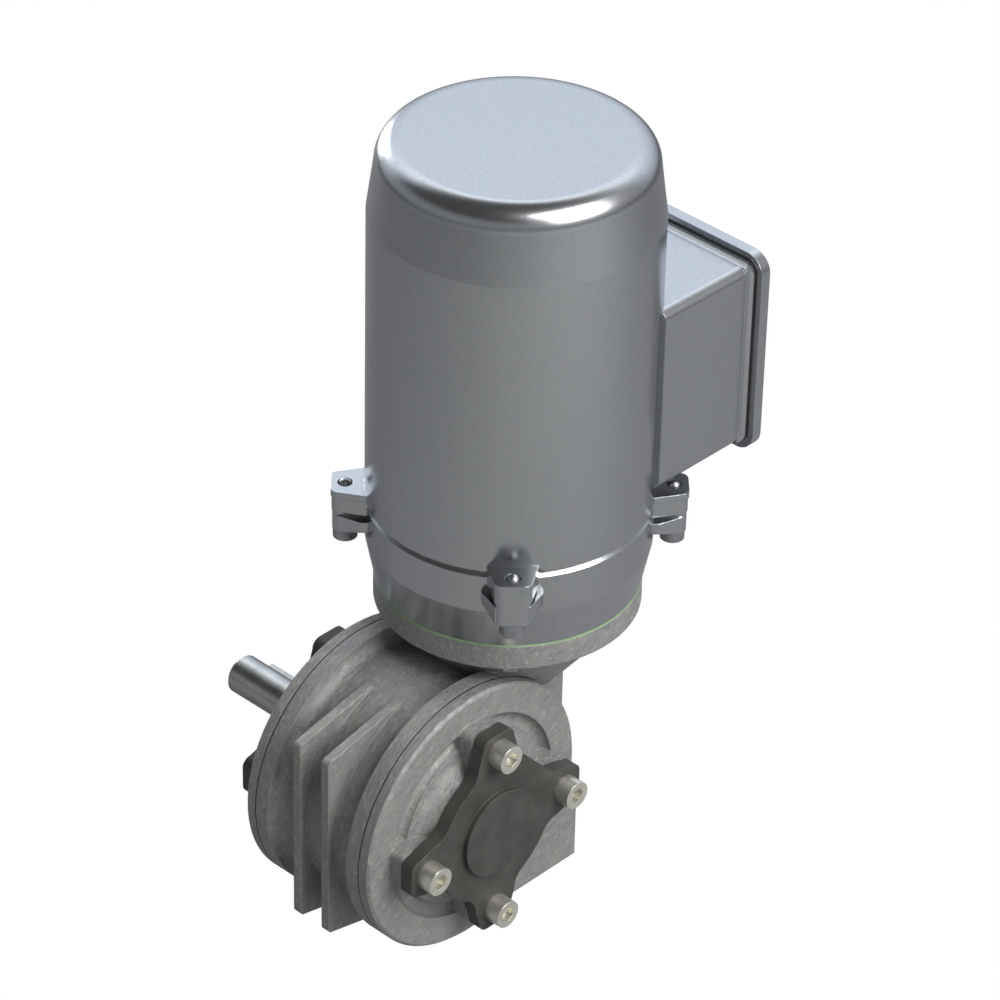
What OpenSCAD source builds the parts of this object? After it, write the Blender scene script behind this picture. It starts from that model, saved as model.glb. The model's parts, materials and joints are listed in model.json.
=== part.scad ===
/* [Gear pair] */
// Tooth module of worm and wheel
gear_mod = 2; // [1.8:0.05:2.1]
// Teeth on the worm wheel
wheel_teeth = 36; // [32:4:40]
// Pitch radius of the worm
worm_pitch_r = 9; // [8.5:0.25:10]
// Width of the toothed rim of the wheel
wheel_w = 14; // [10:0.5:16]
// Play cut from each side of a tooth
flank_play = 0.1; // [0.08:0.01:0.2]
// Length of the threaded part of the worm
worm_l = 36; // [30:1:40]

/* [Gear case] */
// Depth over both cover faces
case_d = 58; // [56:0.5:64]
// Wall round the wheel
case_wall = 4; // [3:0.25:5]
// Height of the flange rims over the drum
rim_h = 5; // [4:0.25:7]
// Thickness of each case flange
rim_t = 5.5; // [4:0.25:7]
// Fillet between drum and flanges
rim_fillet = 4; // [2:0.25:4]
// Thickness of the rim of each side cover
cover_t = 4.5; // [3.5:0.25:6]
// Thickness of the gaskets under the side covers
seam_t = 0.5; // [0.3:0.1:0.8]
// Free gap round the wheel
wheel_gap = 2; // [1.5:0.1:3]
// Outer radius of the upright worm housing
tube_r = 19.6; // [18:0.2:22]
// Depth of the foot below the output axis
foot_z = 44.6; // [42:0.2:46]
// Reach of the foot beyond the output axis
foot_x = 51; // [48:0.5:54]
// Height of the funnel foot over the output axis
neck_z = 26.4; // [24:0.2:30]
// Radius at the top of the funnel
neck_r = 38; // [34:0.5:42]
// Thickness of the ribs
rib_t = 3.3; // [2.5:0.1:5]
// Distance between the middles of the ribs
rib_pitch = 13.2; // [11:0.2:16]
// Reach of the ribs from the output axis
rib_x = 46.9; // [46:0.1:49]
// Half height of the free edge of a rib
rib_z = 35.8; // [30:0.2:40]
// Height of the blunt rib ends over the drum
rib_proud = 1; // [0.5:0.1:2]
// Corner radius of the ribs
rib_corner = 1.8; // [1:0.1:3]

/* [Motor flange] */
// Height of the flange top over the output axis
flange_z = 64.2; // [62:0.2:70]
// Thickness of the motor flange
flange_t = 8.9; // [8:0.1:11]
// Radius of the motor flange
flange_r = 45; // [44:0.25:47]
// Thickness of the flange gasket
flange_seal_t = 0.6; // [0.4:0.1:1]
// Radius of the circle of flange screws
flange_pcr = 33; // [31:0.25:35]

/* [Side covers] */
// Radius of the flat land inside the groove of a cover
land_r = 32.2; // [31:0.1:33]
// Width of the round groove in a cover
groove_w = 5.8; // [4:0.1:6]
// Half width of the screw pads
pad_w = 7.4; // [6.8:0.1:8.5]
// Reach of the screw pads from the output axis
pad_r = 39.3; // [38:0.1:40]
// Height of the screw pads, and radius of the fillet at the foot of the hub
pad_h = 6; // [5:0.25:8]
// Bevel on the outer edge of a cover
rim_bevel = 1; // [0.5:0.1:1.5]

/* [Bearing caps] */
// Thickness of a cap
cap_t = 5; // [4:0.25:6]
// Radius of the round body of a cap
cap_r = 26.3; // [25:0.1:28]
// Reach of the four lobes
lobe_r = 39.9; // [38.5:0.1:41]
// Half width of a lobe at its end
lobe_end_w = 7.2; // [6:0.1:8.5]
// Half width of a lobe at its root
lobe_root_w = 9.3; // [8:0.1:10.5]
// Corner radius of a lobe
lobe_corner = 3.5; // [2:0.1:4.5]
// Fillet between lobes and body
lobe_fillet = 8; // [5:0.5:8.5]
// Height of the raised centre
step_h = 2; // [1:0.1:3]
// Radius of the raised centre
step_r = 16.1; // [14:0.1:18]
// Radius of the circle of cap screws
cap_pcr = 32.5; // [31:0.1:33.5]

/* [Output shaft] */
// Radius of the shaft end
shaft_r = 7; // [6:0.1:7.5]
// Reach of the shaft end beyond the rear cap
shaft_ext = 43; // [36:0.5:50]
// Radius of the journal in the seal
seal_r = 8; // [7.5:0.1:9]
// Radius of the bearing journals
journal_r = 10; // [9.5:0.1:10.5]
// Radius of the wheel seat
seat_r = 11; // [10.8:0.1:11.5]
// Width of the square parallel key
key_w = 5; // [3:0.5:5]
// Length of the key in the shaft end
key_l = 25; // [16:0.5:30]
// Radius of the circle of tapped holes for fixing
fix_pcr = 43.5; // [43:0.1:44]
// Nominal radius of the tapped holes for fixing
fix_hole_r = 2.5; // [2:0.1:2.8]

/* [Motor] */
// Radius of the motor cover
motor_r = 48; // [47:0.25:50]
// Wall of the motor cover
motor_wall = 4; // [3:0.25:4.5]
// Height of the seam over the output axis
seam_z = 95.8; // [94:0.2:98]
// Height where the cover starts to taper
taper_z = 203.5; // [200:0.5:206]
// Height of the cover top
top_z = 229.2; // [227:0.2:235]
// Radius lost over the taper
taper_r = 2.4; // [1:0.1:4]
// Rounding of the cover top
dome_r = 8; // [6:0.25:10]
// Bevel on the lip of the end shield
lip_bevel = 2.3; // [1:0.1:3]
// Length of the straight part of the end shield
shield_z = 15; // [10:0.5:18]
// Radius of the rotor
rotor_r = 25.2; // [23:0.2:27]
// Gap between rotor and stator
air_gap = 0.4; // [0.3:0.05:0.8]
// Height of the lamination stack
stack_h = 70; // [60:1:74]
// Height of the foot of the stack over the output axis
stack_z = 112; // [110:1:116]

/* [Clamps] */
// Reach of the clamp ears from the motor axis
ear_r = 59.1; // [58.8:0.1:62]
// Radius of the circle of clamp screws
ear_pcr = 54.3; // [54:0.1:55.5]
// Thickness of a clamp ear
ear_t = 2.5; // [2:0.1:4]
// Half width of an ear at its end
ear_end_w = 6.4; // [6:0.1:8]
// Half width of an ear at its root
ear_root_w = 9; // [8:0.1:10]
// Height of the wide upper part of a boss
boss_top_h = 5.5; // [4:0.1:7]
// Height of the whole boss
boss_h = 13.5; // [11:0.25:15]
// Half width of the lower part of a boss
boss_w = 5.7; // [5:0.1:6]
// Half width over the side gussets
web_w = 10; // [9:0.1:11]
// Height of the straight part of the gussets
web_h = 4; // [2:0.1:5]

/* [Terminal box] */
// Height of the box foot over the seam
box_foot = 7; // [5:0.2:9]
// Width of the box
box_w = 84; // [80:0.2:86]
// Height of the box
box_h = 68.6; // [66:0.1:70]
// Reach of the box end from the motor axis
box_x = 67.9; // [66:0.1:72]
// Wall of the box
box_wall = 3.5; // [3:0.1:4]
// Radius of the long edges of the box
box_corner = 3.5; // [3:0.1:5]
// Flare of the box rim
flare = 0.9; // [0.5:0.1:1.5]
// Thickness of the box gasket
box_seal_t = 0.8; // [0.6:0.1:1.5]
// Thickness of the lid
lid_t = 4; // [3:0.1:5]
// Overhang of the lid over the box rim
lid_lap = 2.6; // [2:0.1:4]
// Corner radius of the lid
lid_corner = 7; // [5:0.25:8]
// Radius of the tapped cable entry
entry_r = 7.25; // [6:0.05:7.5]

/* [Screws] */
// Nominal diameter of the cap and fixing screws
cap_screw_d = 6; // [5:0.5:6]
// Nominal diameter of the clamp and flange screws
clamp_screw_d = 5; // [4:0.5:5]
// Clearance of a screw in a through hole
screw_gap = 0.3; // [0.2:0.05:0.5]
// Play of a screw in its thread
thread_gap = 0.03; // [0.02:0.01:0.06]

/* [Hidden] */
$fn = 96;
eps = 0.01;
big = 400;

// Gear pair
half_d = case_d / 2;
wheel_pitch_r = gear_mod * wheel_teeth / 2;
wheel_tip_r = wheel_pitch_r + gear_mod;
wheel_root_r = wheel_pitch_r - 1.25 * gear_mod;
centre_d = wheel_pitch_r + worm_pitch_r;
worm_tip_r = worm_pitch_r + gear_mod;
worm_root_r = worm_pitch_r - 1.25 * gear_mod;
worm_core_r = worm_root_r - 0.3;
worm_lead = PI * gear_mod;
flank = tan(20);

// Gear case
cavity_r = wheel_tip_r + wheel_gap;
drum_r = cavity_r + case_wall;
rim_r = drum_r + rim_h;
seam_y = half_d - cover_t;
rim_y = seam_y - seam_t;
chamber_r = worm_tip_r + 1;
neck_top_z = flange_z - flange_t - 5;
fit_gap = 0.03;
run_gap = 0.02;
seat_gap = 0.01;

// Output bearings, sizes by the journals
out_b = 12;
out_od = journal_r + 11;
out_y1 = half_d + pad_h - 1;
out_y0 = out_y1 - out_b;
collar_r = journal_r + 3.2;
hub_w = 20;
hub_r = out_od + 5;
shaft_back = out_y1 + 0.5;
out_seal_b = 5;
out_seal_od = 14;
cap_y = half_d + pad_h;
cap_face = cap_y + cap_t;
shaft_end = cap_face + shaft_ext;
out_seal_y = cap_y + 0.5;
key_y = shaft_end - 5 - key_l / 2;
wheel_key_w = 6;
wheel_key_l = 16;

// Worm shaft stations, heights over the output axis
tail_b = 8;
tail_r = 5;
tail_od = 13;
tail_z0 = -foot_z + 6.6;
tail_z1 = tail_z0 + tail_b;
plug_z = -foot_z + 1;
shield_foot = flange_z + flange_seal_t;
low_b = 11;
low_r = 7.5;
low_od = 17.5;
low_z0 = shield_foot + 3;
low_z1 = low_z0 + low_b;
seal_b = 5;
seal_od = 15;
seal_z = flange_z - 7;
floor_z = shield_foot + 6;
up_b = 10;
up_r = 6;
up_od = 16;
up_z1 = top_z - 14;
up_z0 = up_z1 - up_b;
rotor_seat_r = 9;
washer_t = 1.5;
bar_count = 18;
slot_count = 24;
coil_h = 11;

// Motor cover
bore_r = motor_r - motor_wall;
stator_bore_r = rotor_r + air_gap;
ear_z = seam_z + ear_t;
boss_z = seam_z - boss_h;
shell_t = 4.2;
spigot_h = 4;

// Terminal box
box_z = seam_z + box_foot + box_h / 2;
rim_w = box_w / 2 + flare;
rim_zh = box_h / 2 + flare;
lid_w = rim_w + lid_lap;
lid_h = rim_zh + lid_lap;
lid_screw_d = 4;
pillar_y = box_w / 2 - box_wall - 3.3;
pillar_z = box_h / 2 - box_wall - 3.3;
board_x = motor_r + 5;
board_t = 6;
board_w = 34;
board_h = 42;
board_screw_y = 12;
stud_r = 2;
stud_y = 11;
stud_z = 13;
entry_x = box_x - 12;
entry_z = -15;
lead_r = 3;
lead_z = box_z - box_h / 2 + box_wall + lead_r + 0.3;

// Colours
cast_grey = "#86867f";
satin_grey = "#7d8084";
dark_cap = "#45433f";
steel = "#b9bab6";
bright = "#c8c6b8";
bronze = "#a8854a";
black = "#222222";

// Helpers

// Moves the gear case middle to its place, so that the rear cover face is at y = 0
module in_place() {
    translate([0, -half_d, 0]) children();
}

// Extrudes a drawing of x and z from y0 to y1
module slab_y(y0, y1) {
    translate([0, y1, 0]) rotate([90, 0, 0]) linear_extrude(y1 - y0) children();
}

// Extrudes a drawing of y and z from x0 to x1
module slab_x(x0, x1) {
    translate([x0, 0, 0]) rotate([90, 0, 90]) linear_extrude(x1 - x0) children();
}

// Turns a profile of radius and y round the output axis
module turn_y() {
    rotate([-90, 0, 0]) rotate_extrude() children();
}

module rod_y(y0, y1, r) {
    translate([0, y0, 0]) rotate([-90, 0, 0]) cylinder(h = y1 - y0, r = r);
}

module rod_z(z0, z1, r) {
    translate([0, 0, z0]) cylinder(h = z1 - z0, r = r);
}

module rod_x(x0, x1, r) {
    translate([x0, 0, 0]) rotate([0, 90, 0]) cylinder(h = x1 - x0, r = r);
}

module ring_y(y0, y1, r0, r1) {
    difference() {
        rod_y(y0, y1, r1);
        rod_y(y0 - 1, y1 + 1, r0);
    }
}

module ring_z(z0, z1, r0, r1) {
    difference() {
        rod_z(z0, z1, r1);
        rod_z(z0 - 1, z1 + 1, r0);
    }
}

// Puts a piece on the motor axis
module on_motor() {
    translate([centre_d, 0, 0]) children();
}

// Four copies round the output axis
module four_y() {
    for (a = [0:90:270]) rotate([0, a, 0]) children();
}

// Four copies at the corners round the motor axis
module four_z() {
    for (a = [45:90:315]) rotate([0, 0, a]) children();
}

// Rectangle with round corners, by its half sizes
module round_rect(w, h, r) {
    square([2 * (w - r), 2 * h], center = true);
    square([2 * w, 2 * (h - r)], center = true);
    for (x = [-1, 1], y = [-1, 1]) translate([x * (w - r), y * (h - r)]) circle(r, $fn = 48);
}

// Outline of a bearing cap: a round body with four lobes and a fillet at each root
module cap_outline() {
    c = lobe_corner;
    f = lobe_fillet;
    side_y = lobe_root_w + f;
    side_x = sqrt(pow(cap_r + f, 2) - pow(side_y, 2));
    circle(cap_r);
    for (a = [0:90:270]) rotate(a) {
        polygon([
            [0, lobe_root_w], [side_x, lobe_root_w], [lobe_r - c, lobe_end_w], [lobe_r, lobe_end_w - c],
            [lobe_r, c - lobe_end_w], [lobe_r - c, -lobe_end_w], [side_x, -lobe_root_w], [0, -lobe_root_w]
        ]);
        for (s = [-1, 1]) {
            translate([lobe_r - c, s * (lobe_end_w - c)]) circle(c, $fn = 48);
            difference() {
                polygon([[0, 0], [side_x, s * side_y], [side_x, 0]]);
                translate([side_x, s * side_y]) circle(f, $fn = 48);
            }
        }
    }
}

// Socket-head screw along z, head down to z = 0 and shank upward
module socket_screw(d, length) {
    difference() {
        union() {
            rod_z(-d, 0, 0.833 * d);
            rod_z(-eps, length - 0.5, d / 2);
            translate([0, 0, length - 0.5 - eps]) cylinder(h = 0.5 + eps, r1 = d / 2, r2 = d / 2 - 0.5);
        }
        translate([0, 0, -d - 1]) cylinder(h = d * 0.55 + 1, r = 0.48 * d, $fn = 6);
    }
}

// Low round-head screw along z, head below z = 0
module button_screw(d, length) {
    head_r = 0.875 * d;
    head_h = 0.55 * d;
    difference() {
        union() {
            rod_z(-0.3 * head_h, 0, head_r);
            translate([0, 0, -head_h]) cylinder(h = 0.7 * head_h, r1 = 0.62 * head_r, r2 = head_r);
            rod_z(-eps, length, d / 2);
        }
        translate([0, 0, -head_h - 1]) cylinder(h = 0.35 * d + 1, r = 0.385 * d, $fn = 6);
    }
}

// Ball bearing along z from 0 to b, between radius ri and ro
function ball_pitch(ri, ro) = (ri + ro) / 2;
function ball_size(ri, ro) = 0.29 * (ro - ri);

module race_cut(ri, ro, b) {
    translate([0, 0, b / 2]) rotate_extrude() translate([ball_pitch(ri, ro), 0])
        circle(ball_size(ri, ro) + 0.05, $fn = 48);
}

module bearing_outer(ri, ro, b) {
    difference() {
        ring_z(0, b, ball_pitch(ri, ro) + 0.16 * (ro - ri), ro);
        race_cut(ri, ro, b);
    }
}

module bearing_inner(ri, ro, b) {
    difference() {
        ring_z(0, b, ri, ball_pitch(ri, ro) - 0.16 * (ro - ri));
        race_cut(ri, ro, b);
    }
}

module bearing_balls(ri, ro, b) {
    count = floor(PI * ball_pitch(ri, ro) / ball_size(ri, ro) / 1.35);
    for (i = [0:count - 1]) rotate(360 * i / count) translate([ball_pitch(ri, ro), 0, b / 2])
        sphere(ball_size(ri, ro), $fn = 48);
}

// Gear case

// Square foot below the worm
module foot_outline() {
    difference() {
        polygon([[0, 0], [0, -foot_z], [foot_x, -foot_z], [foot_x, -8], [foot_x - 3, -5]]);
        circle(cavity_r);
    }
}

// Outline of the case flanges
module case_outline() {
    circle(rim_r);
    foot_outline();
}

// Outline of a screw pad
module pad_outline() {
    difference() {
        union() {
            translate([out_od + 2, -pad_w]) square([pad_r - 3 - out_od - 2, 2 * pad_w]);
            translate([out_od + 2, 3 - pad_w]) square([pad_r - out_od - 2, 2 * pad_w - 6]);
            for (s = [-1, 1]) translate([pad_r - 3, s * (pad_w - 3)]) circle(3, $fn = 48);
        }
        circle(out_od + 1);
    }
}

// A rib: flat plate whose edges slope to blunt ends on the drum
module rib() {
    inner_x = 0.3 * drum_r;
    end_z = sqrt(pow(drum_r, 2) - pow(inner_x, 2)) + rib_proud;
    c = rib_corner;
    slab_y(-rib_t / 2, rib_t / 2) {
        polygon([
            [-rib_x, c - rib_z], [-rib_x, rib_z - c], [c - rib_x, rib_z], [-inner_x, end_z],
            [-inner_x, -end_z], [c - rib_x, -rib_z]
        ]);
        for (s = [-1, 1]) translate([c - rib_x, s * (rib_z - c)]) circle(c, $fn = 48);
    }
}

// Funnel between worm housing and motor flange
module neck() {
    translate([0, 0, neck_z]) cylinder(h = neck_top_z - neck_z, r1 = tube_r, r2 = neck_r);
    rod_z(neck_top_z - eps, flange_z - flange_t + eps, neck_r);
}

// Drum with both flanges, hollowed between them by a channel with round corners
module drum() {
    f = rim_fillet;
    w = rim_y - rim_t;
    difference() {
        rod_y(-rim_y, rim_y, rim_r);
        turn_y() {
            translate([drum_r + f, -w]) square([rim_h + 1, 2 * w]);
            translate([drum_r, f - w]) square([f + 1, 2 * (w - f)]);
            for (s = [-1, 1]) translate([drum_r + f, s * (w - f)]) circle(f, $fn = 48);
        }
    }
}

module case_body() {
    drum();
    slab_y(-rim_y, rim_y) foot_outline();
    for (s = [-1, 1]) translate([0, s * rib_pitch / 2, 0]) rib();
    on_motor() {
        rod_z(-foot_z, neck_z + eps, tube_r);
        rod_z(flange_z - flange_t, flange_z, flange_r);
        rotate([0, 0, 225]) translate([flange_r - 5, -2.3, flange_z - flange_t - 1.8]) cube([4, 4.6, 3]);
    }
    difference() {
        on_motor() neck();
        rod_y(rim_y, big, rim_r + 0.6);
        rod_y(-big, -rim_y, rim_r + 0.6);
    }
}

module gear_case() {
    color(cast_grey) in_place() difference() {
        case_body();
        rod_y(-half_d, half_d, cavity_r);
        on_motor() {
            rod_z(tail_z1 - eps, flange_z + 1, chamber_r);
            rod_z(-foot_z - 1, tail_z1, tail_od + seat_gap);
            rod_z(seal_z, flange_z + 1, seal_od + seat_gap);
            ring_z(flange_z - 22, flange_z + 1, seal_od + 3.5, flange_pcr - 5.5);
            four_z() translate([flange_pcr, 0, 0])
                rod_z(flange_z - 8, flange_z + 1, clamp_screw_d / 2 + thread_gap);
        }
        for (a = [45:90:315]) rotate([0, a, 0]) translate([fix_pcr, 0, 0])
            rod_y(rim_y - rim_t + 1.5, half_d, fix_hole_r);
    }
}

// Side covers

// Side cover with its inner side at low y and its outer face at half_d
module side_cover() {
    difference() {
        union() {
            difference() {
                union() {
                    turn_y() polygon([
                        [0, seam_y], [rim_r, seam_y], [rim_r, half_d - rim_bevel],
                        [rim_r - rim_bevel, half_d], [0, half_d]
                    ]);
                    slab_y(seam_y, half_d) foot_outline();
                }
                turn_y() translate([land_r + groove_w / 2, half_d]) circle(groove_w / 2, $fn = 48);
            }
            rod_y(out_y0 - 2, cap_y, hub_r);
            turn_y() difference() {
                translate([hub_r - 1, seam_y + 1]) square([pad_h + 1, cap_y - seam_y - 1]);
                translate([hub_r + pad_h, cap_y]) circle(pad_h, $fn = 48);
            }
            four_y() slab_y(seam_y, cap_y) pad_outline();
            ring_y(seam_y - 3.5, seam_y + 1, cavity_r - 3, cavity_r - fit_gap);
        }
        rod_y(out_y0, cap_y + 1, out_od + seat_gap);
        rod_y(0, out_y0 + 1, out_od - 3.5);
        four_y() translate([cap_pcr, 0, 0]) rod_y(seam_y + 1, cap_y + 1, cap_screw_d / 2 + thread_gap);
    }
}

module front_cover() {
    color(cast_grey) in_place() mirror([0, 1, 0]) side_cover();
}

module rear_cover() {
    color(cast_grey) in_place() difference() {
        side_cover();
        for (a = [45:90:315]) rotate([0, a, 0]) translate([fix_pcr, 0, 0])
            rod_y(0, half_d + 1, fix_hole_r);
    }
}

// Paper gasket between case and cover
module cover_gasket(holes) {
    slab_y(rim_y, seam_y) difference() {
        case_outline();
        circle(cavity_r);
        if (holes) for (a = [45:90:315]) rotate(a) translate([fix_pcr, 0]) circle(fix_hole_r);
    }
}

module front_cover_gasket() {
    color(black) in_place() mirror([0, 1, 0]) cover_gasket(false);
}

module rear_cover_gasket() {
    color(black) in_place() cover_gasket(true);
}

// Bearing cap with a ring that holds the outer ring of the bearing
module bearing_cap() {
    difference() {
        union() {
            slab_y(cap_y, cap_face) cap_outline();
            rod_y(cap_face - eps, cap_face + step_h, step_r);
            rod_y(out_y1, cap_y + eps, out_od - fit_gap);
        }
        rod_y(out_y1 - 1, cap_y + 1, collar_r + 1);
        four_y() translate([cap_pcr, 0, 0]) rod_y(cap_y - 1, cap_face + 1, cap_screw_d / 2 + screw_gap);
    }
}

module front_cap() {
    color(dark_cap) in_place() mirror([0, 1, 0]) bearing_cap();
}

module rear_cap() {
    color(dark_cap) in_place() difference() {
        bearing_cap();
        rod_y(cap_y - 1, out_seal_y + out_seal_b, out_seal_od + seat_gap);
        rod_y(cap_y, cap_face + step_h + 1, seal_r + 0.5);
    }
}

module front_cap_screws() {
    color(bright) in_place() four_y() translate([cap_pcr, -cap_face, 0]) rotate([-90, 0, 0])
        socket_screw(cap_screw_d, cap_t + 8.5);
}

module rear_cap_screws() {
    color(black) in_place() four_y() translate([cap_pcr, cap_face, 0]) rotate([90, 0, 0])
        button_screw(cap_screw_d, cap_t + 8.5);
}

// Plug that closes the tail bore and holds the tail bearing
module worm_tail_plug() {
    color(satin_grey) in_place() on_motor() difference() {
        rod_z(plug_z, tail_z0, tail_od);
        rod_z(tail_z0 - 2, tail_z0 + 1, tail_od - 3);
    }
}

// Output shaft with wheel

module output_shaft() {
    color(steel) in_place() difference() {
        turn_y() polygon([
            [0, -shaft_back], [journal_r - 1, -shaft_back], [journal_r, 1 - shaft_back],
            [journal_r, -hub_w / 2], [seat_r, -hub_w / 2], [seat_r, hub_w / 2],
            [collar_r, hub_w / 2], [collar_r, out_y0], [journal_r, out_y0],
            [journal_r, out_y1 + 0.5], [seal_r, out_y1 + 0.5], [seal_r, cap_face + step_h + 0.5],
            [shaft_r, cap_face + step_h + 0.5], [shaft_r, shaft_end - 1],
            [shaft_r - 1, shaft_end], [0, shaft_end]
        ]);
        rotate([0, 90, 0]) key_blank(key_y, key_l, key_w, shaft_r - 0.6 * key_w, big);
        key_blank(0, wheel_key_l, wheel_key_w, seat_r - 0.6 * wheel_key_w, big);
    }
}

// Round-ended key or its seat, its middle at y, from height z0 to z1
module key_blank(y, l, w, z0, z1) {
    run = l - w;
    h = min(z1, seat_r + 4) - z0;
    for (s = [-1, 1]) translate([0, y + s * run / 2, z0]) cylinder(h = h, r = w / 2, $fn = 48);
    translate([-w / 2, y - run / 2, z0]) cube([w, run, h]);
}

module output_key() {
    color(steel) in_place() rotate([0, 90, 0])
        key_blank(key_y, key_l, key_w, shaft_r - 0.6 * key_w, shaft_r + 0.4 * key_w);
}

// Outline of the wheel teeth with an involute flank
base_r = wheel_pitch_r * cos(20);
function involute(r) = let (a = acos(min(1, base_r / max(r, base_r)))) tan(a) * 180 / PI - a;
function tooth_half(r) =
    (PI * gear_mod / 4 - flank_play) / wheel_pitch_r * 180 / PI + involute(wheel_pitch_r) - involute(r);
flank_radii = [
    wheel_root_r, base_r, wheel_pitch_r - gear_mod / 2, wheel_pitch_r, wheel_pitch_r + gear_mod / 2, wheel_tip_r
];

function tooth_points(mid) = concat(
    [for (r = flank_radii) r * [cos(mid - tooth_half(r)), sin(mid - tooth_half(r))]],
    [for (i = [len(flank_radii) - 1:-1:0]) let (r = flank_radii[i])
        r * [cos(mid + tooth_half(r)), sin(mid + tooth_half(r))]]
);

module wheel_outline() {
    polygon([for (i = [0:wheel_teeth - 1]) each tooth_points(360 * (i + 0.5) / wheel_teeth)]);
}

module worm_wheel() {
    turn = wheel_w * worm_lead / (2 * PI * worm_pitch_r) / wheel_pitch_r * 180 / PI;
    color(bronze) in_place() difference() {
        union() {
            translate([0, wheel_w / 2, 0]) rotate([90, 0, 0]) rotate(-turn / 2)
                linear_extrude(wheel_w, twist = -turn, slices = 3) wheel_outline();
            rod_y(-hub_w / 2, hub_w / 2, seat_r + 6);
        }
        rod_y(-hub_w, hub_w, seat_r + seat_gap);
        for (s = [-1, 1]) translate([0, s * (wheel_w / 2 - 1), 0])
            ring_y(-2, 2, seat_r + 6, wheel_root_r - 4);
        four_y() rotate([0, 45, 0]) translate([(seat_r + wheel_root_r + 2) / 2, 0, 0])
            rod_y(-wheel_w, wheel_w, 3);
        key_blank(0, 2 * hub_w, wheel_key_w, 0, seat_r + 0.45 * wheel_key_w);
    }
}

module wheel_key() {
    color(steel) in_place() key_blank(0, wheel_key_l, wheel_key_w,
        seat_r - 0.6 * wheel_key_w, seat_r + 0.4 * wheel_key_w);
}

module spacer_sleeve() {
    color(steel) in_place() ring_y(-out_y0, -hub_w / 2, journal_r + seat_gap, collar_r);
}

module output_seal() {
    color(black) in_place() ring_y(out_seal_y, out_seal_y + out_seal_b, seal_r + run_gap, out_seal_od);
}

// Puts a bearing drawn along z on the output axis, front or rear
module at_front() {
    in_place() translate([0, -out_y1, 0]) rotate([-90, 0, 0]) children();
}

module at_rear() {
    in_place() translate([0, out_y0, 0]) rotate([-90, 0, 0]) children();
}

module front_bearing_outer() {
    color(steel) at_front() bearing_outer(journal_r, out_od, out_b);
}

module front_bearing_inner() {
    color(steel) at_front() bearing_inner(journal_r, out_od, out_b);
}

module front_bearing_balls() {
    color(bright) at_front() bearing_balls(journal_r, out_od, out_b);
}

module rear_bearing_outer() {
    color(steel) at_rear() bearing_outer(journal_r, out_od, out_b);
}

module rear_bearing_inner() {
    color(steel) at_rear() bearing_inner(journal_r, out_od, out_b);
}

module rear_bearing_balls() {
    color(bright) at_rear() bearing_balls(journal_r, out_od, out_b);
}

// Motor shaft with the worm

// Radius of the worm section at an angle from the middle of the thread
function worm_r(a) = let (u = abs(a) / 360 * worm_lead)
    max(worm_root_r, min(worm_tip_r, worm_pitch_r + (worm_lead / 4 - flank_play - u) / flank));

tip_a = 360 / worm_lead * (worm_lead / 4 - flank_play - gear_mod * flank);
foot_a = 360 / worm_lead * (worm_lead / 4 - flank_play + 1.25 * gear_mod * flank);
worm_angles = concat(
    [for (i = [-3:3]) i / 3 * tip_a],
    [for (i = [1:7]) tip_a + i / 7 * (foot_a - tip_a)],
    [for (i = [1:4]) foot_a + i / 5 * (360 - 2 * foot_a)],
    [for (i = [0:6]) 360 - foot_a + i / 7 * (foot_a - tip_a)]
);

module worm_thread() {
    turns = worm_l / worm_lead;
    translate([0, 0, -worm_l / 2]) rotate(180 - 180 * turns)
        linear_extrude(worm_l, twist = -360 * turns, slices = round(18 * turns), $fn = 24)
            polygon([for (a = worm_angles) let (w = a > 180 ? a - 360 : a) worm_r(w) * [cos(a), sin(a)]]);
}

module worm_shaft() {
    color(steel) in_place() on_motor() {
        worm_thread();
        rotate_extrude() polygon([
            [0, tail_z0 - 0.5], [tail_r, tail_z0 - 0.5], [tail_r, tail_z1], [worm_core_r, tail_z1],
            [worm_core_r, worm_l / 2 + 4], [low_r, worm_l / 2 + 8], [low_r, low_z1],
            [rotor_seat_r, low_z1], [rotor_seat_r, up_z0 - 4], [up_r + 1.5, up_z0 - 4],
            [up_r + 1.5, up_z0], [up_r, up_z0], [up_r, up_z1 + 0.5], [0, up_z1 + 0.5]
        ]);
    }
}

module at_motor(z) {
    in_place() translate([centre_d, 0, z]) children();
}

module tail_bearing_outer() {
    color(steel) at_motor(tail_z0) bearing_outer(tail_r, tail_od, tail_b);
}

module tail_bearing_inner() {
    color(steel) at_motor(tail_z0) bearing_inner(tail_r, tail_od, tail_b);
}

module tail_bearing_balls() {
    color(bright) at_motor(tail_z0) bearing_balls(tail_r, tail_od, tail_b);
}

module lower_bearing_outer() {
    color(steel) at_motor(low_z0) bearing_outer(low_r, low_od, low_b);
}

module lower_bearing_inner() {
    color(steel) at_motor(low_z0) bearing_inner(low_r, low_od, low_b);
}

module lower_bearing_balls() {
    color(bright) at_motor(low_z0) bearing_balls(low_r, low_od, low_b);
}

module upper_bearing_outer() {
    color(steel) at_motor(up_z0) bearing_outer(up_r, up_od, up_b);
}

module upper_bearing_inner() {
    color(steel) at_motor(up_z0) bearing_inner(up_r, up_od, up_b);
}

module upper_bearing_balls() {
    color(bright) at_motor(up_z0) bearing_balls(up_r, up_od, up_b);
}

module motor_seal() {
    color(black) at_motor(seal_z) ring_z(0, seal_b, low_r + run_gap, seal_od);
}

module preload_washer() {
    color(steel) at_motor(up_z1) ring_z(0, washer_t, up_od - 3, up_od - 0.2);
}

module rotor_core() {
    color(steel) at_motor(stack_z) difference() {
        ring_z(0, stack_h, rotor_seat_r + seat_gap, rotor_r);
        rotor_bars(stack_h + 1);
    }
}

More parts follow.
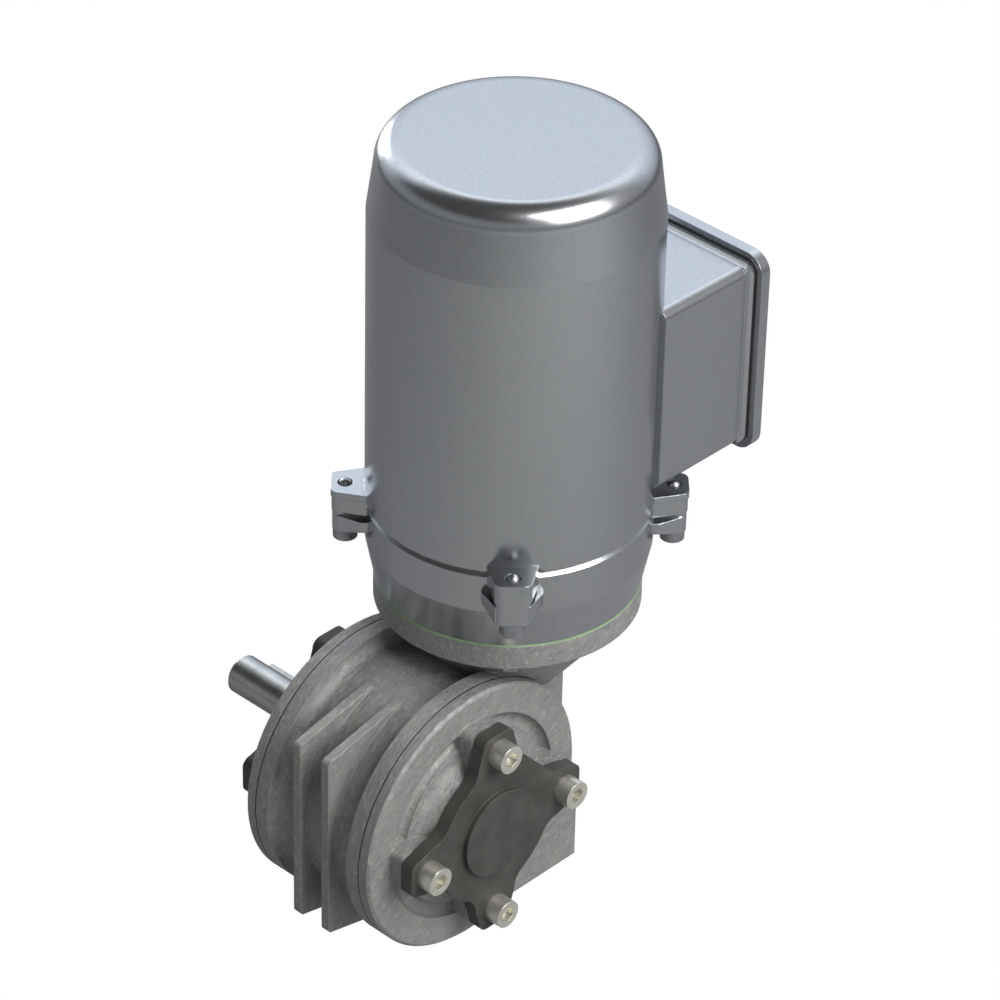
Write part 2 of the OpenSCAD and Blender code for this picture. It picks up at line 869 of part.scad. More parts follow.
// Bars of the rotor cage, standing out a little at both ends
module rotor_bars(l) {
    for (i = [0:bar_count - 1]) rotate(360 * i / bar_count) translate([rotor_r - 3.2, 0, 0])
        rod_z((stack_h - l) / 2, (stack_h + l) / 2, 1.6);
}

module rotor_cage() {
    color("#9a9da0") at_motor(stack_z) {
        ring_z(-6, 0, rotor_r - 10, rotor_r - 1);
        ring_z(stack_h, stack_h + 6, rotor_r - 10, rotor_r - 1);
        rotor_bars(stack_h + 1);
    }
}

// Slots of the stator, open to the bore
module stator_slots(play, l) {
    for (i = [0:slot_count - 1]) rotate(360 * (i + 0.5) / slot_count)
        translate([stator_bore_r + 2.5 + play, play - 1.6, (stack_h - l) / 2])
            cube([bore_r - stator_bore_r - 8.5 - 2 * play, 3.2 - 2 * play, l]);
}

module stator_core() {
    color("#777a7c") at_motor(stack_z) difference() {
        ring_z(0, stack_h, stator_bore_r, bore_r - seat_gap);
        stator_slots(0, stack_h + 2);
    }
}

module stator_winding() {
    color("#a5622f") at_motor(stack_z) {
        ring_z(-coil_h, 0, stator_bore_r + 2.6, bore_r - 6.1);
        ring_z(stack_h, stack_h + coil_h, stator_bore_r + 2.6, bore_r - 6.1);
        stator_slots(0.1, stack_h + 2);
    }
}

// Joint between gear case and motor

module flange_gasket() {
    color("#8fbf80") at_motor(flange_z) difference() {
        ring_z(0, flange_seal_t, seal_od + 0.5, flange_r - 0.1);
        four_z() translate([flange_pcr, 0, 0]) rod_z(-1, 2, clamp_screw_d / 2 + screw_gap);
    }
}

module flange_screws() {
    color(black) at_motor(floor_z) four_z() translate([flange_pcr, 0, 0]) rotate([180, 0, 0])
        socket_screw(clamp_screw_d, floor_z - flange_z + 7);
}

// Outline of a clamp ear or boss: it narrows outward and has round corners
module ear_outline(reach, end_w, root_w, c) {
    polygon([
        [motor_r - 3, root_w], [reach - c, end_w], [reach, end_w - c],
        [reach, c - end_w], [reach - c, -end_w], [motor_r - 3, -root_w]
    ]);
    for (s = [-1, 1]) translate([reach - c, s * (end_w - c)]) circle(c, $fn = 48);
}

// Section of the gussets, with half width w at the wall
module gusset_outline(w) {
    front = ear_r - 2;
    polygon([[motor_r - 3, -w], [motor_r + 1, -w], [front, -boss_w], [front, boss_w], [motor_r + 1, w],
        [motor_r - 3, w]]);
}

// Clamp boss of the end shield with gussets at its sides
module clamp_boss() {
    web_z = seam_z - boss_top_h - 1.5;
    translate([0, 0, seam_z - boss_top_h]) linear_extrude(boss_top_h)
        ear_outline(ear_r - 0.3, ear_end_w - 0.2, ear_root_w - 0.2, 3);
    translate([0, 0, boss_z]) linear_extrude(boss_h) ear_outline(ear_r - 0.5, boss_w, boss_w, 3);
    hull() {
        translate([0, 0, web_z - web_h]) linear_extrude(web_h) gusset_outline(web_w);
        translate([0, 0, boss_z]) linear_extrude(1) gusset_outline(boss_w);
    }
}

module end_shield() {
    top_r = motor_r - 0.1;
    color(satin_grey) at_motor(0) difference() {
        union() {
            rotate_extrude() polygon([
                [0, shield_foot], [flange_r - 0.1, shield_foot], [top_r, shield_foot + shield_z],
                [top_r, seam_z - lip_bevel], [top_r - lip_bevel, seam_z], [0, seam_z]
            ]);
            rod_z(seam_z - 1, seam_z + spigot_h, bore_r - fit_gap);
            four_z() clamp_boss();
        }
        difference() {
            rod_z(floor_z, seam_z + spigot_h + 1, bore_r - shell_t);
            rod_z(floor_z - 1, low_z1 + 1, low_od + 4);
        }
        rod_z(low_z0, low_z1 + 2, low_od + seat_gap);
        rod_z(shield_foot - 1, low_z0 + 1, low_od - 3.5);
        ring_z(seam_z + 1.2, seam_z + 2.8, bore_r - 1.4, bore_r + 1);
        four_z() {
            translate([ear_pcr, 0, 0]) rod_z(boss_z - 1, seam_z + 1, clamp_screw_d / 2 + screw_gap);
            translate([flange_pcr, 0, 0]) rod_z(shield_foot - 1, floor_z + 1, clamp_screw_d / 2 + screw_gap);
        }
    }
}

module clamp_screws() {
    top = boss_h + ear_t;
    color(bright) at_motor(boss_z) four_z() translate([ear_pcr, 0, 0]) {
        socket_screw(clamp_screw_d, top - 0.5);
        translate([0, 0, top - 0.8]) sphere(clamp_screw_d / 2 - 0.3, $fn = 48);
    }
}

module cover_seal() {
    color(black) at_motor(seam_z) ring_z(1.2, 2.8, bore_r - 1.4, bore_r - fit_gap);
}

// Motor cover with ears and terminal box

module cover_shell(inset, foot) {
    r1 = motor_r - inset;
    r2 = motor_r - taper_r - inset;
    c = dome_r - inset;
    rotate_extrude() {
        polygon([
            [0, foot], [r1, foot], [r1, taper_z], [r2, top_z - dome_r],
            [r2 - c, top_z - inset], [0, top_z - inset]
        ]);
        translate([r2 - c, top_z - dome_r]) intersection() {
            circle(c);
            square(c + 1);
        }
    }
}

// Block that widens by the flare at the box rim, drawn for the half width w
module flare_block(w) {
    side = [[3, 0], [1.6, 0.17], [0.7, 0.5], [0, 1]];
    translate([0, 0, -big / 2]) linear_extrude(big) polygon(concat(
        [for (q = side) [box_x - q[0], w + q[1] * flare]],
        [for (i = [len(side) - 1:-1:0]) [box_x - side[i][0], -w - side[i][1] * flare]]
    ));
}

module box_body() {
    translate([0, 0, box_z]) {
        slab_x(motor_r * 0.55, box_x) round_rect(box_w / 2, box_h / 2, box_corner);
        intersection() {
            slab_x(box_x - 3, box_x) round_rect(rim_w, rim_zh, box_corner + flare);
            flare_block(box_w / 2);
            rotate([90, 0, 0]) flare_block(box_h / 2);
        }
    }
}

module box_hollow() {
    difference() {
        translate([0, 0, box_z]) slab_x(motor_r * 0.55, box_x + 1)
            round_rect(box_w / 2 - box_wall, box_h / 2 - box_wall, 2);
        rod_z(seam_z, top_z, motor_r);
        translate([0, 0, box_z]) {
            for (y = [-1, 1], z = [-1, 1]) translate([0, y * pillar_y, z * pillar_z]) rod_x(0, big, 4.5);
            for (y = [-1, 1]) translate([0, y * board_screw_y, 0]) rod_x(0, board_x, 3.5);
        }
    }
}

module motor_cover() {
    color(satin_grey) at_motor(0) difference() {
        union() {
            cover_shell(0, seam_z);
            four_z() translate([0, 0, seam_z]) linear_extrude(ear_t)
                ear_outline(ear_r, ear_end_w, ear_root_w, 3);
            box_body();
        }
        difference() {
            cover_shell(motor_wall, seam_z - 1);
            rod_z(up_z0 - 2, top_z, up_od + 4);
        }
        rod_z(up_z0 - 3, up_z1 + washer_t, up_od + seat_gap);
        rod_z(up_z1, up_z1 + washer_t + 3, up_od - 6);
        box_hollow();
        translate([0, 0, lead_z]) rod_x(bore_r - 3, motor_r + 2, lead_r);
        translate([0, 0, box_z]) {
            for (y = [-1, 1], z = [-1, 1]) translate([0, y * pillar_y, z * pillar_z])
                rod_x(box_x - 12, box_x + 1, lid_screw_d / 2 + thread_gap);
            for (y = [-1, 1]) translate([0, y * board_screw_y, 0])
                rod_x(motor_r - 2, box_x, lid_screw_d / 2 + thread_gap);
            translate([entry_x, 0, entry_z]) rod_y(box_w / 2 - box_wall - 1, box_w / 2 + 1, entry_r);
        }
        four_z() translate([ear_pcr, 0, 0]) rod_z(seam_z - 1, ear_z + 1, clamp_screw_d / 2 + thread_gap);
    }
}

module lid_holes(r) {
    for (y = [-1, 1], z = [-1, 1]) translate([y * pillar_y, z * pillar_z]) circle(r, $fn = 48);
}

module box_gasket() {
    color(black) at_motor(box_z) slab_x(box_x, box_x + box_seal_t) difference() {
        round_rect(rim_w, rim_zh, box_corner + flare);
        difference() {
            round_rect(box_w / 2 - box_wall, box_h / 2 - box_wall, 2);
            lid_holes(4.5);
        }
        lid_holes(lid_screw_d / 2 + screw_gap);
    }
}

module box_lid() {
    color(satin_grey) at_motor(box_z) slab_x(box_x + box_seal_t, box_x + box_seal_t + lid_t) difference() {
        round_rect(lid_w, lid_h, lid_corner);
        lid_holes(lid_screw_d / 2 + screw_gap);
    }
}

module lid_screws() {
    color(steel) at_motor(box_z) for (y = [-1, 1], z = [-1, 1])
        translate([box_x + box_seal_t + lid_t, y * pillar_y, z * pillar_z]) rotate([0, -90, 0])
            button_screw(lid_screw_d, lid_t + box_seal_t + 9);
}

module terminal_board() {
    color("#3b3a38") at_motor(box_z) slab_x(board_x, board_x + board_t) difference() {
        round_rect(board_w / 2, board_h / 2, 2);
        for (y = [-1, 1]) translate([y * board_screw_y, 0]) circle(lid_screw_d / 2 + screw_gap, $fn = 48);
        for (y = [-1:1], z = [-1, 1]) translate([y * stud_y, z * stud_z]) circle(stud_r);
    }
}

module board_screws() {
    color(steel) at_motor(box_z) for (y = [-1, 1])
        translate([board_x + board_t, y * board_screw_y, 0]) rotate([0, -90, 0])
            button_screw(lid_screw_d, board_t + 5);
}

module terminal_studs() {
    color("#b08d4a") at_motor(box_z) for (y = [-1:1], z = [-1, 1])
        translate([board_x, y * stud_y, z * stud_z]) {
            rod_x(0, board_t + 4, stud_r);
            rod_x(board_t, board_t + 2.5, 3.6, $fn = 6);
        }
}

gear_case();
front_cover();
rear_cover();
front_cover_gasket();
rear_cover_gasket();
front_cap();
rear_cap();
front_cap_screws();
rear_cap_screws();
worm_tail_plug();
output_shaft();
output_key();
worm_wheel();
wheel_key();
spacer_sleeve();
output_seal();
front_bearing_outer();
front_bearing_inner();
front_bearing_balls();
rear_bearing_outer();
rear_bearing_inner();
rear_bearing_balls();
worm_shaft();
tail_bearing_outer();
tail_bearing_inner();
tail_bearing_balls();
motor_seal();
flange_gasket();
flange_screws();
end_shield();
clamp_screws();
lower_bearing_outer();
lower_bearing_inner();
lower_bearing_balls();
upper_bearing_outer();
upper_bearing_inner();
upper_bearing_balls();
preload_washer();
rotor_core();
rotor_cage();
stator_core();
stator_winding();
cover_seal();
motor_cover();
box_gasket();
box_lid();
lid_screws();
terminal_board();
terminal_studs();
board_screws();
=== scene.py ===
import json
import math

import bpy
from mathutils import Matrix, Vector

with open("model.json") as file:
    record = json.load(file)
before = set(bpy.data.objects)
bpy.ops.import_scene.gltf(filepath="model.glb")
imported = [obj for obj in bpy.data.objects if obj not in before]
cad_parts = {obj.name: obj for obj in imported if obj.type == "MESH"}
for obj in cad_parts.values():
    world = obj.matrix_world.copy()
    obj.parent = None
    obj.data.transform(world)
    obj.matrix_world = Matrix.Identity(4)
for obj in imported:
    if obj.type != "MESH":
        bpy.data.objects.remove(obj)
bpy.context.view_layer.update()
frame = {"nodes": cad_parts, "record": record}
NODES = frame["nodes"]


# Colours

def lin(code):
    """Linear RGBA of an sRGB hex colour."""
    out = []
    for i in (0, 2, 4):
        c = int(code[i:i + 2], 16) / 255
        out.append(c / 12.92 if c <= 0.04045 else ((c + 0.055) / 1.055) ** 2.4)
    return (*out, 1.0)


WHITE = lin("ffffff")
# Colour of the painted shade in the hollows of the grain
PIT_SHADE_COLOUR = lin("1c1b19")


# Nodes

# The frame is in metres, and patterns, heights and rounded edges are given in millimetres
MM_PER_M = 1000
BEVEL_SAMPLES = 6
# The Mix node's colour sockets share their names with others, so they are picked by place
FACTOR, FIRST, SECOND = 0, 6, 7
MIXED = 2
# Cosine between the true and the softened normal on an open face, where there is no painted edge
# highlight, and at a sharp edge, where it is full
EDGE_HIGHLIGHT_RANGE = {"From Min": 0.98, "From Max": 0.75}
# Values of the noise, which lies round 0.5, at which each pattern starts and is full
PATCHES = {"From Min": 0.35, "From Max": 0.65}
GLINT_RANGE = {"From Min": 0.54, "From Max": 0.66}
PIT_SHADE_RANGE = {"From Min": 0.44, "From Max": 0.34}
ROUGHNESS = {"From Min": 0.3, "From Max": 0.7}
# Widths of the painted glints and of the swell of the skin, in grains
GLINT_GRAINS = 1.6
SWELL_GRAINS = 6
# Scale at which the wave texture draws two lines in one unit of length
TWO_LINES = 0.625


def add(tree, kind, inputs=None, **settings):
    """Adds a shader node, sets its settings, and sets or links its inputs."""
    made = tree.nodes.new(kind)
    for key, value in settings.items():
        setattr(made, key, value)
    for key, value in (inputs or {}).items():
        if isinstance(value, bpy.types.NodeSocket):
            tree.links.new(value, made.inputs[key])
        else:
            made.inputs[key].default_value = value
    return made


def blank(name):
    """A new material and its empty node tree."""
    mat = bpy.data.materials.new(name)
    mat.use_nodes = True
    mat.node_tree.nodes.clear()
    return mat, mat.node_tree


def millimetres(tree, stretch, lean):
    """Object coordinates counted in millimetres, turned by lean degrees about Y and stretched."""
    coord = add(tree, "ShaderNodeTexCoord")
    turned = add(tree, "ShaderNodeVectorRotate",
                 {"Vector": coord.outputs["Object"], "Angle": math.radians(lean)}, rotation_type="Y_AXIS")
    scale = [MM_PER_M * s for s in stretch]
    return add(tree, "ShaderNodeMapping", {"Vector": turned.outputs[0], "Scale": scale}).outputs[0]


def painted_edge_highlights(tree, colour, highlight_colour, width):
    """A colour changed to another along the sharp edges, over a width in mm, as a painted edge highlight.
    """
    soft = add(tree, "ShaderNodeBevel", {"Radius": width / MM_PER_M}, samples=BEVEL_SAMPLES)
    face = add(tree, "ShaderNodeNewGeometry")
    cosine = add(tree, "ShaderNodeVectorMath", {0: soft.outputs[0], 1: face.outputs["Normal"]},
                 operation="DOT_PRODUCT")
    mask = add(tree, "ShaderNodeMapRange", {"Value": cosine.outputs["Value"], **EDGE_HIGHLIGHT_RANGE})
    return add(tree, "ShaderNodeMix", {FACTOR: mask.outputs[0], FIRST: colour, SECOND: lin(highlight_colour)},
               data_type="RGBA").outputs[MIXED]


def painted_glints_and_pit_shade(tree, where, colour, fine, grain_mm, strength):
    """A colour with painted glints in bright flecks, and painted shade where the fine noise, the grain's
    height, is low.
    """
    spots = add(tree, "ShaderNodeTexNoise", {"Vector": where, "Scale": 1 / (grain_mm * GLINT_GRAINS),
                                             "Detail": 2.0, "Roughness": 0.55})
    glint_mask = add(tree, "ShaderNodeMapRange",
               {"Value": spots.outputs["Fac"], **GLINT_RANGE, "To Max": strength})
    glinted = add(tree, "ShaderNodeMix", {FACTOR: glint_mask.outputs[0], FIRST: colour, SECOND: WHITE},
                 data_type="RGBA", blend_type="OVERLAY")
    pit_shade_mask = add(tree, "ShaderNodeMapRange", {"Value": fine, **PIT_SHADE_RANGE, "To Max": strength})
    return add(tree, "ShaderNodeMix",
               {FACTOR: pit_shade_mask.outputs[0], FIRST: glinted.outputs[MIXED], SECOND: PIT_SHADE_COLOUR},
               data_type="RGBA").outputs[MIXED]


def relief(tree, layers, round_mm):
    """Normal of a surface with rounded edges and layers of relief, each a pattern and a height in mm."""
    normal = add(tree, "ShaderNodeBevel", {"Radius": round_mm / MM_PER_M}, samples=BEVEL_SAMPLES)
    for pattern, height in layers:
        normal = add(tree, "ShaderNodeBump", {"Strength": 1.0, "Distance": height / MM_PER_M,
                                              "Height": pattern, "Normal": normal.outputs[0]})
    return normal.outputs[0]


def surface(name, tones, metal, rough, *, grain, grain_mm, tone_mm, round_mm, glint_and_pit_shade=0.0, edge_highlight=None,
            stretch=(1, 1, 1), lean=0.0, swell=0.0, rings=None, coat=0.0):
    """A finish: two tones in soft patches, painted glints and shaded hollows, a bumpy grain, rounded
    edges and painted edge highlights.

    tones are the darker and the lighter colour, and rough the lowest and the highest roughness. grain
    is the height of the grain, and grain_mm, tone_mm and round_mm are the sizes of the grain, of the
    patches and of the rounded edges, all in mm. The strength of the painted glints and of the painted
    shade in the hollows comes after round_mm, and then the colour of the painted edge highlights and
    their width in mm. swell is the height in mm of wider waves. rings is the direction of the lines,
    the width in mm of two of them and their height in mm.
    """
    mat, tree = blank(name)
    where = millimetres(tree, stretch, lean)
    wide = add(tree, "ShaderNodeTexNoise", {"Vector": where, "Scale": 1 / tone_mm, "Detail": 3.0,
                                            "Roughness": 0.55})
    fine = add(tree, "ShaderNodeTexNoise", {"Vector": where, "Scale": 1 / grain_mm, "Detail": 4.0,
                                            "Roughness": 0.65}).outputs["Fac"]
    patch = add(tree, "ShaderNodeMapRange", {"Value": wide.outputs["Fac"], **PATCHES})
    colour = add(tree, "ShaderNodeMix",
                 {FACTOR: patch.outputs[0], FIRST: lin(tones[0]), SECOND: lin(tones[1])},
                 data_type="RGBA").outputs[MIXED]
    # Painted glints, and painted shade in the hollows of the grain
    if glint_and_pit_shade:
        colour = painted_glints_and_pit_shade(tree, where, colour, fine, grain_mm, glint_and_pit_shade)
    # Painted highlights along the sharp edges
    if edge_highlight:
        colour = painted_edge_highlights(tree, colour, *edge_highlight)
    roughness = add(tree, "ShaderNodeMapRange",
                    {"Value": fine, **ROUGHNESS, "To Min": rough[0], "To Max": rough[1]})
    layers = []
    if swell:
        waves = add(tree, "ShaderNodeTexNoise", {"Vector": where, "Scale": 1 / (grain_mm * SWELL_GRAINS),
                                                 "Detail": 2.0, "Roughness": 0.55})
        layers.append((waves.outputs["Fac"], swell))
    layers.append((fine, grain))
    if rings:
        direction, pair_mm, height = rings
        lines = add(tree, "ShaderNodeTexWave", {"Vector": where, "Scale": TWO_LINES / pair_mm,
                                                "Distortion": 1.2, "Detail": 3.0, "Detail Scale": 0.3},
                    wave_type="BANDS", bands_direction=direction)
        layers.append((lines.outputs["Fac"], height))
    shader = add(tree, "ShaderNodeBsdfPrincipled",
                 {"Base Color": colour, "Metallic": metal, "Roughness": roughness.outputs[0],
                  "Normal": relief(tree, layers, round_mm), "Coat Weight": coat, "Coat Roughness": 0.3})
    add(tree, "ShaderNodeOutputMaterial", {0: shader.outputs[0]})
    return mat


# Materials

# Motor cover, box lid and end shield: die-cast aluminium, satin blasted, with soft reflections. The
# blasting is finer than a picture shows, so its grain is drawn 0.4 mm wide and very flat.
MOTOR = surface("satin_die_cast_aluminium", ("adafb2", "b3b5b7"), 1.0, (0.235, 0.265),
                grain=0.0012, grain_mm=0.4, tone_mm=1.2, round_mm=0.3)
# Gear case and side covers: raw sand-cast aluminium, dull and hammered, with painted glints as light
# flecks, painted shade in dark hollows and painted highlights on the edges. Grains of sand are finer
# than a picture shows, so the grain is drawn 1.1 mm wide, and longer on a slant.
CAST = surface("sand_cast_aluminium", ("818284", "8b8a85"), 0.45, (0.55, 0.7), glint_and_pit_shade=0.26,
               grain=0.5, grain_mm=1.1, tone_mm=3, round_mm=0.7, edge_highlight=("a3a199", 0.35), swell=0.12,
               stretch=(0.45, 1, 1), lean=40)
# Bearing caps: blackened iron, dark and satin, with painted highlights on the edges and a few
# painted glints and shaded hollows
CAP = surface("blackened_iron", ("393734", "454340"), 0.25, (0.52, 0.66), glint_and_pit_shade=0.1,
              grain=0.03, grain_mm=0.5, tone_mm=10, round_mm=0.4, edge_highlight=("6f6d68", 0.2))
# Screws of front cap, box lid and terminal board: plated steel, bright and a little warm, with
# painted highlights on the edges
PLATED = surface("plated_steel", ("d2d0c5", "dedcd2"), 0.9, (0.3, 0.42),
                 grain=0.01, grain_mm=0.4, tone_mm=4, round_mm=0.35, edge_highlight=("e4e2d8", 0.3))
# Clamp screws: zinc-plated steel, bluish and duller
ZINC = surface("zinc_plated_steel", ("96989b", "a6a8ab"), 1.0, (0.3, 0.42),
               grain=0.01, grain_mm=0.4, tone_mm=4, round_mm=0.35)
# Screws of the rear cap and of the motor flange: black oxide steel, dark with a soft shine and
# painted highlights on the edges
BLACK_STEEL = surface("black_oxide_steel", ("1d1c1b", "2a2927"), 0.6, (0.35, 0.5),
                      grain=0.02, grain_mm=0.4, tone_mm=4, round_mm=0.3, edge_highlight=("55534f", 0.2))
# Output shaft, and the worm shaft inside of the case: ground steel, bright, with its reflections
# drawn out by rings round the output axis, and with painted highlights on the edges. Grinding marks
# are finer than a picture shows, so the rings lie 0.18 mm apart.
SHAFT = surface("ground_steel", ("a8a9a7", "b6b7b5"), 1.0, (0.16, 0.26), grain=0.004, grain_mm=0.3,
                tone_mm=6, round_mm=0.25, edge_highlight=("e0e0dc", 0.2), rings=("Y", 0.35, 0.004))
# Keys, sleeve, washer and plug: drawn steel, evenly grey and half bright
STEEL = surface("drawn_steel", ("a2a3a0", "b2b3b0"), 1.0, (0.3, 0.42),
                grain=0.01, grain_mm=0.4, tone_mm=5, round_mm=0.2)
# Bearing rings and balls: polished bearing steel, close to a mirror
BEARING = surface("bearing_steel", ("b8b9ba", "c6c7c8"), 1.0, (0.12, 0.2),
                  grain=0.003, grain_mm=0.3, tone_mm=6, round_mm=0.15)
# Worm wheel: cast tin bronze, brown-yellow, with a few painted glints and painted shade in hollows
BRONZE = surface("tin_bronze", ("94703f", "a8854a"), 1.0, (0.3, 0.45), glint_and_pit_shade=0.1,
                 grain=0.03, grain_mm=0.5, tone_mm=8, round_mm=0.2)
# Terminal studs: turned brass, yellow and bright
BRASS = surface("turned_brass", ("a88843", "bb994f"), 1.0, (0.22, 0.34),
                grain=0.008, grain_mm=0.4, tone_mm=4, round_mm=0.2)
# Box gasket and seals: nitrile rubber, black and dull
RUBBER = surface("nitrile_rubber", ("141414", "1c1c1d"), 0.0, (0.6, 0.75),
                 grain=0.02, grain_mm=0.5, tone_mm=9, round_mm=0.2)
# Gaskets under the side covers: graphited paper, nearly black and matt
PAPER = surface("graphited_paper", ("23221f", "312f2b"), 0.0, (0.7, 0.85),
                grain=0.03, grain_mm=0.4, tone_mm=5, round_mm=0.05)
# Flange gasket: fibre sheet, pale green and matt
GREEN = surface("green_fibre_gasket", ("6f9062", "80a172"), 0.0, (0.6, 0.75),
                grain=0.03, grain_mm=0.5, tone_mm=6, round_mm=0.05)
# Stator and rotor: stacked electrical steel, dull grey with fine lines 0.25 mm apart for its sheets
STACK = surface("stacked_electrical_steel", ("5e6062", "787b7d"), 0.9, (0.4, 0.55),
                grain=0.01, grain_mm=0.5, tone_mm=9, round_mm=0.2, rings=("Z", 0.5, 0.03))
# Winding: lacquered copper wire, red-brown and glossy, with turns 0.4 mm apart
COPPER = surface("lacquered_copper", ("8e4f22", "b06a33"), 0.8, (0.25, 0.4), grain=0.02,
                 grain_mm=0.5, tone_mm=6, round_mm=0.3, rings=("Z", 0.8, 0.1), coat=0.5)
# Rotor cage: die-cast aluminium, pale and satin
CAGE = surface("cage_aluminium", ("8f9294", "a2a5a7"), 1.0, (0.35, 0.5),
               grain=0.02, grain_mm=0.6, tone_mm=8, round_mm=0.3)
# Terminal board: moulded thermoset, dark brown-grey and satin, with a few painted glints and shaded
# hollows
BOARD = surface("dark_thermoset", ("2c2b29", "3b3a38"), 0.0, (0.4, 0.55), glint_and_pit_shade=0.1,
                grain=0.02, grain_mm=0.5, tone_mm=7, round_mm=0.3)

# The finish of each material slot, and of the nodes whose finish differs from their slot's
FINISHES = {
    "motor_alloy": MOTOR, "cast_alloy": CAST, "dark_iron": CAP, "plated_steel": PLATED,
    "black_steel": BLACK_STEEL, "steel": STEEL, "bearing_steel": BEARING, "bronze": BRONZE,
    "brass": BRASS, "black_rubber": RUBBER, "gasket_paper": PAPER, "green_gasket": GREEN,
    "electric_steel": STACK, "copper": COPPER, "cage_alloy": CAGE, "thermoset": BOARD,
}
OWN = {"output_shaft": SHAFT, "worm_shaft": SHAFT, "clamp_screws": ZINC}

for part in frame["record"]["subparts"]:
    node = NODES[part["node"]]
    node.data.materials.clear()
    node.data.materials.append(OWN.get(part["node"]) or FINISHES[part["material_slot"]])


# Lights

# Middle of the part, in metres
CENTRE = Vector((0.045, -0.029, 0.09))
UPRIGHT = Vector((0, 0, 1))


def softbox(name, way, reach, size, power):
    """Area light along a direction from the part's middle, turned to face it.

    reach and size are in metres, and power is in watts.
    """
    light = bpy.data.lights.new(name, "AREA")
    light.shape = "RECTANGLE"
    light.size, light.size_y = size
    light.energy = power
    holder = bpy.data.objects.new(name, light)
    bpy.context.scene.collection.objects.link(holder)
    axis = Vector(way).normalized()
    tall = (UPRIGHT - axis * axis.dot(UPRIGHT)).normalized()
    turned = Matrix((tall.cross(axis), tall, axis)).transposed().to_4x4()
    holder.matrix_world = Matrix.Translation(CENTRE + axis * reach) @ turned
    return holder


softbox("light_front", (0.06, -0.68, 0.62), 1.35, (0.85, 1.1), 30)
softbox("light_back", (0.25, 0.93, 0.22), 1.3, (0.35, 0.6), 6)
# A fill from the left for the dull cast pieces, which the polished ones don't mirror
fill = softbox("light_fill", (-0.6, -0.75, 0.15), 1.4, (1.2, 1.2), 6)
fill.visible_glossy = False


def camera_sees(tree, camera, others):
    """One shader for rays from the camera and another for all other rays."""
    seen = add(tree, "ShaderNodeLightPath").outputs["Is Camera Ray"]
    return add(tree, "ShaderNodeMixShader", {0: seen, 1: others.outputs[0], 2: camera.outputs[0]})


def fade(tree, where, direction, start, full, first, second):
    """A colour that turns from the first into the second while a place or a way moves in a direction."""
    share = add(tree, "ShaderNodeVectorMath", {0: where, 1: direction}, operation="DOT_PRODUCT")
    mask = add(tree, "ShaderNodeMapRange",
               {"Value": share.outputs["Value"], "From Min": start, "From Max": full})
    return add(tree, "ShaderNodeMix", {FACTOR: mask.outputs[0], FIRST: first, SECOND: second},
               data_type="RGBA").outputs[MIXED]


# Sky

# The sky is white where the camera sees it. In reflections it is grey at the sides and dark above,
# but for a wide bluish brightness behind the part, which the flat tops mirror. These colours are
# light and so already linear, and values above 1 shine brighter than white.
DARK_GREY = (0.09, 0.09, 0.09, 1)
SIDE_GREY = (0.34, 0.35, 0.36, 1)
RIGHT_GREY = (0.36, 0.36, 0.37, 1)
# Brightness behind the part, by the sine of the height above the horizon
BEHIND_BANDS = (
    (0.0, (0.5, 0.53, 0.58, 1)),
    (0.3, (0.9, 0.98, 1.1, 1)),
    (0.57, (1.2, 1.34, 1.55, 1)),
    (0.72, (2.1, 2.2, 2.3, 1)),
    (0.84, (0.5, 0.5, 0.5, 1)),
    (0.97, DARK_GREY),
)
# Direction upward, and the level ones away from the camera and to its right
UPWARD = (0, 0, 1)
AWAY = (0.73, 0.684, 0)
TO_THE_RIGHT = (0.85, -0.5, 0)

world = bpy.data.worlds.new("studio")
bpy.context.scene.world = world
world.use_nodes = True
sky = world.node_tree
sky.nodes.clear()
way = add(sky, "ShaderNodeTexCoord").outputs["Generated"]
height = add(sky, "ShaderNodeSeparateXYZ", {0: way}).outputs[2]
bands = add(sky, "ShaderNodeValToRGB", {"Fac": height})
stops = bands.color_ramp.elements
stops[0].position, stops[0].color = BEHIND_BANDS[0]
stops[1].position, stops[1].color = BEHIND_BANDS[-1]
for position, shade in BEHIND_BANDS[1:-1]:
    stops.new(position).color = shade
# Each tone turns into the next between two shares of its direction
sides = fade(sky, way, UPWARD, 0.55, 0.3, DARK_GREY, SIDE_GREY)
around = fade(sky, way, TO_THE_RIGHT, 0.2, 0.8, sides, RIGHT_GREY)
mirrored = fade(sky, way, AWAY, 0.3, 0.62, around, bands.outputs[0])
backdrop = add(sky, "ShaderNodeBackground", {"Color": WHITE, "Strength": 1.0})
studio = add(sky, "ShaderNodeBackground", {"Color": mirrored, "Strength": 1.0})
add(sky, "ShaderNodeOutputWorld", {0: camera_sees(sky, backdrop, studio).outputs[0]})
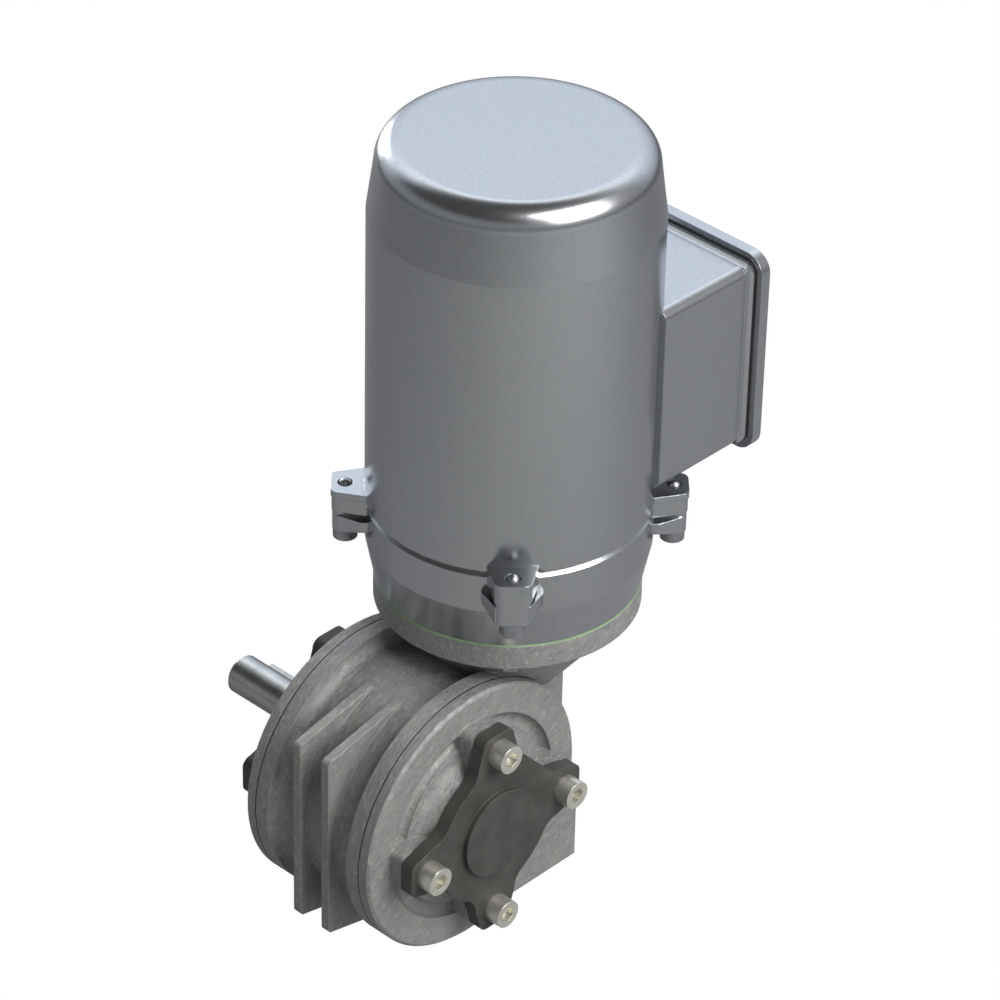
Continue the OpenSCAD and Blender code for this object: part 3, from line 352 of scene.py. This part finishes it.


# Floor

# White to the camera, and grey in reflections with a painted pool of light on the camera's side
UNLIT_FLOOR_GREY = lin("868688")
POOL_LIT_GREY = lin("949493")
TO_THE_CAMERA = (-0.73, -0.68, 0)
# Half of the floor's width, its height, and half of the width over which the painted pool of light
# fades, in metres
FLOOR_HALF = 3.0
FLOOR_Z = -0.075
POOL_FADE_HALF = 0.3

floor_mat, tree = blank("pale_floor")
place = add(tree, "ShaderNodeTexCoord").outputs["Object"]
# Painted pool of light: the grey seen in reflections lightens towards the camera's side
pale = fade(tree, place, TO_THE_CAMERA, -POOL_FADE_HALF, POOL_FADE_HALF, UNLIT_FLOOR_GREY, POOL_LIT_GREY)
grey = add(tree, "ShaderNodeBsdfDiffuse", {"Color": pale})
white = add(tree, "ShaderNodeEmission", {"Color": WHITE, "Strength": 1.0})
add(tree, "ShaderNodeOutputMaterial", {0: camera_sees(tree, white, grey).outputs[0]})
corners = [(FLOOR_HALF * x, FLOOR_HALF * y, FLOOR_Z) for x, y in ((-1, -1), (1, -1), (1, 1), (-1, 1))]
floor_mesh = bpy.data.meshes.new("floor")
floor_mesh.from_pydata(corners, [], [(0, 1, 2, 3)])
floor_mesh.materials.append(floor_mat)
floor = bpy.data.objects.new("floor", floor_mesh)
bpy.context.scene.collection.objects.link(floor)


# Camera, at the viewing angle of the photograph

# Lens and sensor in mm, distances in metres
LENS = 169.2
SENSOR = 36
DISTANCE = 1.5532
FARTHEST = 20
# Place that the camera looks at, in metres
TARGET = Vector((0.04267, -0.02685, 0.0915))
# Turn about the vertical, tilt up from looking straight down and roll about the line of sight
YAW = math.radians(-46.8229)
TILT = math.radians(55.503)
ROLL = math.radians(1.3572)

camera = bpy.data.cameras.new("camera")
camera.sensor_width = SENSOR
camera.lens = LENS
camera.clip_end = FARTHEST
eye = bpy.data.objects.new("camera", camera)
bpy.context.scene.collection.objects.link(eye)
turn = Matrix.Rotation(YAW, 4, "Z") @ Matrix.Rotation(TILT, 4, "X") @ Matrix.Rotation(ROLL, 4, "Z")
eye.matrix_world = Matrix.Translation(TARGET) @ turn @ Matrix.Translation((0, 0, DISTANCE))
bpy.context.scene.camera = eye
bpy.context.scene.view_settings.view_transform = "Standard"
